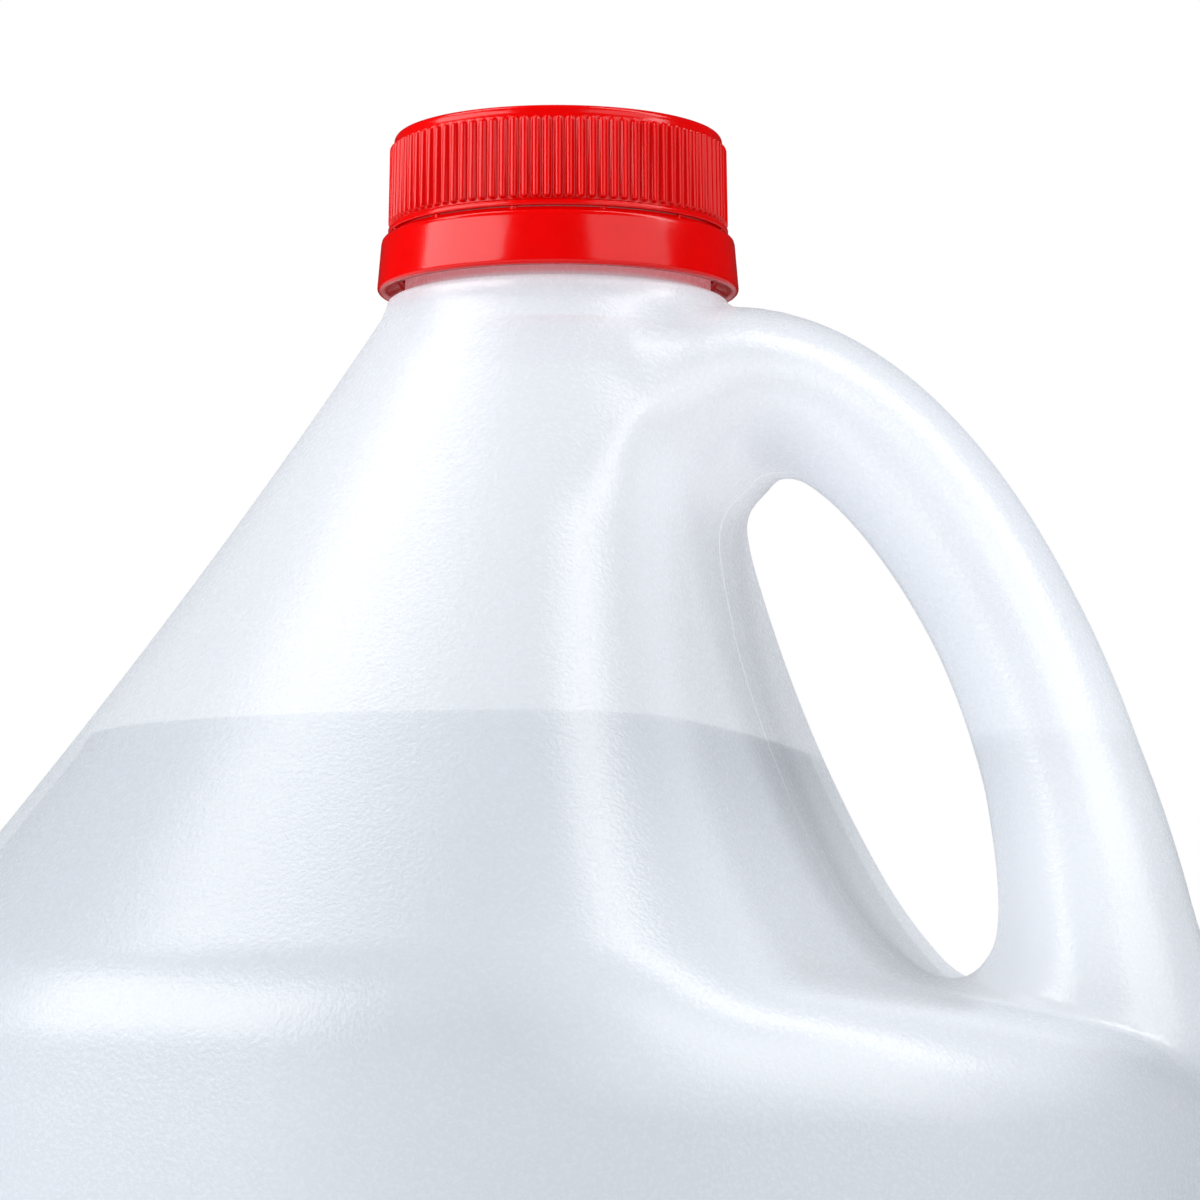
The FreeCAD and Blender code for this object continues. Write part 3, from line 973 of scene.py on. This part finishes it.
class JUG_OT_screw_cap(bpy.types.Operator):
    """Builds the ribbed screw cap with its thread"""

    bl_idname = "jug.screw_cap"
    bl_label = "Screw Cap"

    bore = 18.95
    columns_per_rib = 8
    ring_height = 0.7
    rim_height = 1.3
    rim_edge = 0.75
    draft = 0.2
    top_sunk = 0.35
    roof = 1.5
    liner = 1
    thread_lead = 0.2
    thread_clearance = 0.35

    def execute(self, context):
        closure = context.scene.jug_closure
        piece = Piece()
        bottom, top = cap_low[2], cap_high[2]
        crest = cap_high[0]
        columns = closure.ribs * self.columns_per_rib
        angles = np.arange(columns) * TAU / columns
        self.shell(piece, angles, closure, bottom, top, crest)
        self.cavity(piece, bottom, top, closure.thread_pitch / MM)
        piece.object("ribbed_cap", red_polypropylene(context.scene.jug_finishes),
                     "cap", "screw_cap")
        return {"FINISHED"}

    def shell(self, piece, angles, closure, bottom, top, crest):
        """Skirt, ribs, rim and the sunk top."""
        root = crest - closure.rib_height / MM
        bore = self.bore
        half = closure.rib_width / MM / 2
        pitch = TAU / closure.ribs
        from_middle = np.abs((angles + pitch / 2) % pitch - pitch / 2) * crest
        ring_top = bottom + self.ring_height
        rim_low = top - self.rim_height
        first_end, last_end = ring_top + 0.25 + half, rim_low - 0.1 - half

        def ribbed(height):
            along = max(height - last_end, first_end - height, 0) / half
            away = np.hypot(from_middle / half, along)
            raised = 1 - smooth(away, 0.45, 1.05)
            lean = self.draft * (height - bottom) / (top - bottom)
            return root + (crest - root - lean) * raised

        profile = [(bore + 0.12, bottom + 0.1), (bore + 0.3, bottom), (crest - 0.2, bottom),
                   (crest - 0.05, bottom + 0.06), (crest, bottom + 0.2), (crest, ring_top - 0.2),
                   (crest - 0.12, ring_top - 0.05), (root + 0.1, ring_top + 0.08)]
        heights = list(np.arange(ring_top + 0.14, first_end + 0.01, 0.11))
        heights += list(np.linspace(first_end + 0.3, last_end - 0.3, 12))
        heights += list(np.arange(last_end, rim_low - 0.02, 0.1))
        profile += [(ribbed(h), h) for h in heights]
        rim, edge = root - 0.12, self.rim_edge
        profile += [(root - 0.02, rim_low + 0.05), (rim, rim_low + 0.25)]
        profile += rounding(rim - edge, top - edge, edge, np.linspace(0, 90, 7))
        sunk = top - self.top_sunk
        profile += [(rim - 1.45, top), (rim - 1.6, top - 0.06), (rim - 1.85, sunk + 0.05),
                    (rim - 2.0, sunk), (12.0, sunk), (11.8, sunk + 0.08), (11.4, sunk + 0.08),
                    (11.2, sunk), (1.6, sunk), (1.3, sunk - 0.15), (0.9, sunk - 0.2),
                    (0.7, sunk - 0.07)]
        last = piece.rows(angles, profile)
        piece.disc(last, (0, 0, top - 0.4))

    def cavity(self, piece, bottom, top, pitch):
        """Bore with the inner thread, and the ceiling, seen from below."""
        bore, lead, clearance = self.bore, self.thread_lead, self.thread_clearance
        angles = np.arange(192) * TAU / 192
        ceiling = top - self.roof
        lip = ceiling - self.liner
        below = (THREAD_FOOT + THREAD_TOP - clearance) / 2 + clearance
        start = lip - THREAD_UNDER_LIP - THREAD_TURNS * pitch - below + lead * pitch
        profile = [(0.5, ceiling), (bore - 0.5, ceiling), (bore - 0.1, ceiling - 0.1),
                   (bore, ceiling - 0.3)]
        for height in np.arange(ceiling - 0.5, bottom + 0.3, -0.28):
            relief = thread_relief((angles - TAU * lead) % TAU, height, start,
                                   THREAD_TURNS - lead, pitch)
            profile.append((bore - relief, height))
        profile += [(bore, bottom + 0.3), (bore + 0.12, bottom + 0.1)]
        row = piece.rows(angles, profile[:1])
        piece.disc(row, (0, 0, ceiling), facing_up=False)
        piece.rows(angles, profile[1:], first=row)


class JUG_OT_tamper_band(bpy.types.Operator):
    """Builds the flared tamper band with its snap bead and bridges"""

    bl_idname = "jug.tamper_band"
    bl_label = "Tamper Band"

    columns = 240
    slit = 0.6
    flare = 0.5
    thickness = 1.2
    edge = 0.5
    snap = 19.25
    bridges = 12
    bridge_radius = 20.28

    def execute(self, context):
        piece = Piece()
        bottom = band_low[2]
        top = cap_low[2] - self.slit
        wide, edge, snap = band_high[0], self.edge, self.snap
        outer_top = wide - self.flare
        inner = outer_top - self.thickness
        angles = np.arange(self.columns) * TAU / self.columns
        profile = [(inner + 0.5, bottom), (wide - edge, bottom)]
        profile += rounding(wide - edge, bottom + edge, edge, np.linspace(-72, 0, 5))
        profile += [(wide - 0.02, bottom + 0.8), (outer_top + 0.05, top - 0.7),
                    (outer_top - 0.06, top - 0.3), (outer_top - 0.22, top - 0.1),
                    (outer_top - 0.45, top), (20.75, top), (20.5, top + 0.1), (20.42, top + 0.45),
                    (20.3, top + 0.5), (19.98, top + 0.5), (19.9, top + 0.4), (19.9, top - 0.3),
                    (inner, top - 1),
                    (inner, bottom + 2.5), (snap + 0.05, bottom + 2.05), (snap, bottom + 1.9),
                    (snap, bottom + 1.1), (snap + 0.08, bottom + 0.95),
                    (inner + 0.45, bottom + 0.08)]
        last = piece.rows(angles, profile)
        piece.join(last, np.arange(self.columns))
        for number in range(self.bridges):
            self.bridge(piece, TAU * number / self.bridges, top)
        piece.object("flared_band", red_polypropylene(context.scene.jug_finishes),
                     "jug", "tamper_band")
        return {"FINISHED"}

    def bridge(self, piece, angle, top):
        """One thin link that breaks at the first opening."""
        outward = np.array([math.cos(angle), math.sin(angle), 0])
        aside = np.array([-math.sin(angle), math.cos(angle), 0])
        rings = []
        for height, grow in ((-0.05, 1.15), (0.12, 0.8), (0.42, 0.6), (0.55, 0.85)):
            ring = [outward * (self.bridge_radius + 0.3 * grow * a) + aside * 0.5 * grow * b
                    + (0, 0, top + height)
                    for a, b in ((1, -1), (1, 1), (-1, 1), (-1, -1))]
            rings.append(piece.add(ring))
        for below, above in zip(rings, rings[1:]):
            piece.join(below, above)
        piece.faces.append(tuple(rings[-1]))


class JUG_OT_liner(bpy.types.Operator):
    """Gives the liner its foam and soft edges"""

    bl_idname = "jug.liner"
    bl_label = "Liner"

    def execute(self, context):
        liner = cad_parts["liner"]
        liner.data.materials.clear()
        liner.data.materials.append(white_foam(context.scene.jug_finishes))
        edges = liner.modifiers.new("soft_edges", "BEVEL")
        edges.width = 0.15 * MM
        edges.segments = 2
        edges.limit_method = "ANGLE"
        return {"FINISHED"}


class JUG_OT_stage(bpy.types.Operator):
    """Sets the floor, the soft light and the camera"""

    bl_idname = "jug.stage"
    bl_label = "Stage"

    # name, degrees round from the lens, rise in degrees, width and height in metres, share
    soft_boxes = (
        ("left_soft_box", -66, 20, 1.0, 0.6, 1.35),
        ("high_left_soft_box", -99, 60, 0.28, 0.5, 1.4),
        ("right_soft_box", 48, 19, 0.9, 0.7, 0.56),
        ("high_right_soft_box", 80, 54, 0.22, 0.85, 1.7),
    )
    light_distance = 0.95
    light_target = (0, 0, 0.2)
    floor_radius = 1.6
    mirrored_room = 0.04
    sensor = 36
    focal_share = 3.398
    swing = math.radians(-0.6)
    pitch = math.radians(90 + 5.42)
    roll = math.radians(0.05)

    def execute(self, context):
        stage = context.scene.jug_stage
        self.floor()
        self.room(context.scene, stage)
        for name, azimuth, rise, width, height, share_of in self.soft_boxes:
            self.soft_box(name, math.degrees(stage.view_azimuth) + azimuth, rise, width, height,
                          stage.light_level * share_of)
        self.camera(context.scene, stage)
        return {"FINISHED"}

    def floor(self):
        mesh = bpy.data.meshes.new("floor")
        shape = bmesh.new()
        bmesh.ops.create_circle(shape, cap_ends=True, segments=96, radius=self.floor_radius)
        shape.to_mesh(mesh)
        shape.free()
        finish = Finish("pale_floor")
        vector, _ = finish.place()
        cloud = finish.grain(vector, 120, 2.0)
        shade = finish.tones(cloud.eased(0.3, 0.7), (0.88, 0.88, 0.88), (0.92, 0.92, 0.92))
        paper = finish.principled({"Base Color": shade, "Roughness": 0.7})
        mesh.materials.append(finish.surface(paper))
        floor = placed("floor", mesh)

    def room(self, scene, stage):
        """White where the camera looks past the jug, dimmer where the room only lights it."""
        world = bpy.data.worlds.new("studio")
        nodes = Nodes(world)
        background = "ShaderNodeBackground"
        seen = nodes.add(background, None, {"Color": (1, 1, 1)})
        lit = nodes.add(background, None, {"Color": (0.93, 0.96, 1), "Strength": stage.surround})
        mirrored = nodes.add(background, None, {"Strength": self.mirrored_room})
        path = nodes.add("ShaderNodeLightPath")
        unseen = nodes.add("ShaderNodeMixShader", None, {
            0: path.outputs["Is Glossy Ray"], 1: lit.outputs[0], 2: mirrored.outputs[0]})
        either = nodes.add("ShaderNodeMixShader", None, {
            0: path.outputs["Is Camera Ray"], 1: unseen.outputs[0], 2: seen.outputs[0]})
        nodes.add("ShaderNodeOutputWorld", None, {"Surface": either.outputs[0]})
        scene.world = world

    def soft_box(self, name, azimuth, rise, width, height, level):
        turn, lift = math.radians(azimuth), math.radians(rise)
        target = Vector(self.light_target)
        outward = Vector((math.sin(turn) * math.cos(lift), -math.cos(turn) * math.cos(lift),
                          math.sin(lift)))
        place = target + self.light_distance * outward
        light = bpy.data.lights.new(name, "AREA")
        light.shape = "RECTANGLE"
        light.size = width
        light.size_y = height
        light.energy = level * math.pi * width * height
        box = placed(name, light)
        box.location = place
        box.rotation_euler = (target - place).to_track_quat("-Z", "Y").to_euler()

    def camera(self, scene, stage):
        turn = stage.view_azimuth
        data = bpy.data.cameras.new("camera")
        data.sensor_width = self.sensor
        data.lens = self.sensor * self.focal_share
        data.clip_start = 0.01
        camera = placed("camera", data)
        camera.location = (math.sin(turn) * stage.view_distance,
                           -math.cos(turn) * stage.view_distance, stage.eye_height)
        look = Euler((self.pitch, 0, turn + self.swing)).to_matrix()
        camera.rotation_euler = (look @ Euler((0, 0, self.roll)).to_matrix()).to_euler()
        scene.camera = camera
        scene.view_settings.view_transform = "Standard"


class JUG_PT_sidebar(bpy.types.Panel):
    """Lists the jug's pieces and what can be changed on them"""

    bl_idname = "JUG_PT_sidebar"
    bl_label = "Jug"
    bl_space_type = "VIEW_3D"
    bl_region_type = "UI"
    bl_category = "Jug"

    def draw(self, context):
        for settings, title, steps in SECTIONS:
            box = self.layout.box()
            box.label(text=title)
            group = getattr(context.scene, settings)
            for name in group.__annotations__:
                box.prop(group, name)
            for step in steps:
                box.operator(step.bl_idname)


SECTIONS = (
    ("jug_body", "Blown Body", (JUG_OT_blown_body, JUG_OT_liquid)),
    ("jug_closure", "Closure", (JUG_OT_screw_cap, JUG_OT_tamper_band, JUG_OT_liner)),
    ("jug_finishes", "Finishes", ()),
    ("jug_stage", "Stage", (JUG_OT_stage,)),
)

GROUPS = {
    "jug_body": BlownBodySizes,
    "jug_closure": ClosureSizes,
    "jug_finishes": Finishes,
    "jug_stage": StageSettings,
}

CLASSES = (
    *GROUPS.values(),
    JUG_OT_blown_body,
    JUG_OT_liquid,
    JUG_OT_screw_cap,
    JUG_OT_tamper_band,
    JUG_OT_liner,
    JUG_OT_stage,
    JUG_PT_sidebar,
)


def register():
    for item in CLASSES:
        bpy.utils.register_class(item)
    for name, group in GROUPS.items():
        setattr(bpy.types.Scene, name, PointerProperty(type=group))


def unregister():
    for name in GROUPS:
        delattr(bpy.types.Scene, name)
    for item in reversed(CLASSES):
        bpy.utils.unregister_class(item)


def main():
    register()
    bpy.ops.jug.blown_body()
    bpy.ops.jug.liquid()
    bpy.ops.jug.screw_cap()
    bpy.ops.jug.tamper_band()
    bpy.ops.jug.liner()
    bpy.ops.jug.stage()


if __name__ == "__main__":
    main()
